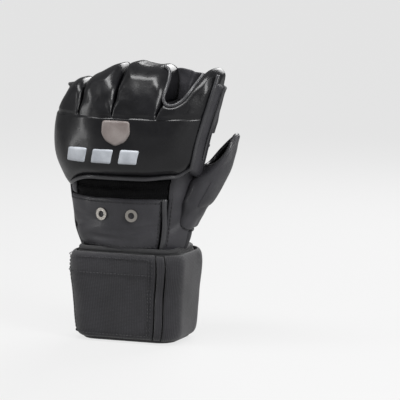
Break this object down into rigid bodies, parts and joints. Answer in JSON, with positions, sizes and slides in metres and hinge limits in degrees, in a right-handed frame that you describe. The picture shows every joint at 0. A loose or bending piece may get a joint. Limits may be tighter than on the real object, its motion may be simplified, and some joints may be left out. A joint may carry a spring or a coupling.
{
  "type": "mma glove",
  "caption": "Left-hand open-finger grappling glove with a domed knuckle pad, thumb sleeve and a wide wrap-around wrist strap.",
  "frame": {"origin": "middle of the cuff's lower edge, on the surface it stands on", "axes": "+Z along the fingers, -Y out of the back of the hand, +X towards the thumb"},
  "size_m": [0.1523, 0.0856, 0.2292],
  "materials": {
    "gloss_leather": "glossy black synthetic leather",
    "panel_leather": "satin black synthetic leather",
    "palm_leather": "matte grained black synthetic leather",
    "binding": "satin dark grey edge binding",
    "mesh": "black stretch mesh",
    "lining": "black brushed lining",
    "foam": "dark closed-cell foam",
    "band": "dark grey woven elastic",
    "hook": "black hook tape",
    "loop": "black loop pile",
    "eyelet": "brushed nickel eyelet",
    "mark_pale": "pale grey-blue print",
    "mark_warm": "pale warm grey print"
  },
  "bodies": {
    "hand": {"cuff_lining": "lining", "cuff_shell": "foam", "cuff_hem": "binding", "cuff_top": "binding", "wrist_strap": "band", "cuff_wrap": "band", "loop_patch": "loop", "vent_eyelets": "eyelet", "back_panel": "panel_leather", "flex_band": "mesh", "knuckle_panel": "panel_leather", "palm_panel": "palm_leather", "hand_lining": "lining", "palm_grip": "palm_leather", "palm_binding": "binding", "palm_hem": "binding", "index_side_panel": "panel_leather", "back_roll": "binding", "knuckle_cover": "gloss_leather", "knuckle_foam": "foam", "pad_backing": "lining", "pad_piping": "binding", "pad_bar": "mark_pale", "pad_badge": "mark_warm", "finger_web": "mesh"},
    "strap_side": {"strap_side_band": "band", "strap_hook": "hook"},
    "strap_tip": {"strap_tip_band": "band", "strap_pull": "binding", "strap_tip_hook": "hook"},
    "thumb": {"thumb_binding": "binding", "thumb_sleeve": "panel_leather", "thumb_lining": "lining", "thumb_guard": "panel_leather"},
    "pinky": {"pinky_cover": "gloss_leather", "pinky_foam": "foam", "pinky_sleeve": "palm_leather", "pinky_binding": "binding"},
    "ring": {"ring_cover": "gloss_leather", "ring_foam": "foam", "ring_sleeve": "palm_leather", "ring_binding": "binding"},
    "middle": {"middle_cover": "gloss_leather", "middle_foam": "foam", "middle_sleeve": "palm_leather", "middle_binding": "binding"},
    "index": {"index_cover": "gloss_leather", "index_foam": "foam", "index_sleeve": "palm_leather", "index_binding": "binding"}
  },
  "joints": [
    {"name": "pinky_curl", "type": "hinge", "parent": "hand", "child": "pinky", "pos_m": [-0.043, 0.014, 0.1855], "axis": [-0.9781, 0, -0.2079], "range_deg": [0, 35]},
    {"name": "ring_curl", "type": "hinge", "parent": "hand", "child": "ring", "pos_m": [-0.0135, 0.014, 0.185], "axis": [-0.9945, 0, -0.1045], "range_deg": [0, 35]},
    {"name": "middle_curl", "type": "hinge", "parent": "hand", "child": "middle", "pos_m": [0.0185, 0.014, 0.185], "axis": [-0.9998, 0, -0.0175], "range_deg": [0, 35]},
    {"name": "index_curl", "type": "hinge", "parent": "hand", "child": "index", "pos_m": [0.055, 0.014, 0.187], "axis": [-0.9659, 0, 0.2588], "range_deg": [0, 35]},
    {"name": "thumb_swing", "type": "hinge", "parent": "hand", "child": "thumb", "pos_m": [0.048, 0.01, 0.098], "axis": [0, 1, 0], "range_deg": [0, 12]},
    {"name": "strap_swing", "type": "hinge", "parent": "hand", "child": "strap_side", "pos_m": [0.036, 0.032, 0.037], "axis": [0, 0, 1], "range_deg": [0, 100]},
    {"name": "strap_peel", "type": "hinge", "parent": "strap_side", "child": "strap_tip", "pos_m": [0.036, -0.032, 0.037], "axis": [0, 0, 1], "range_deg": [0, 75]}
  ]
}
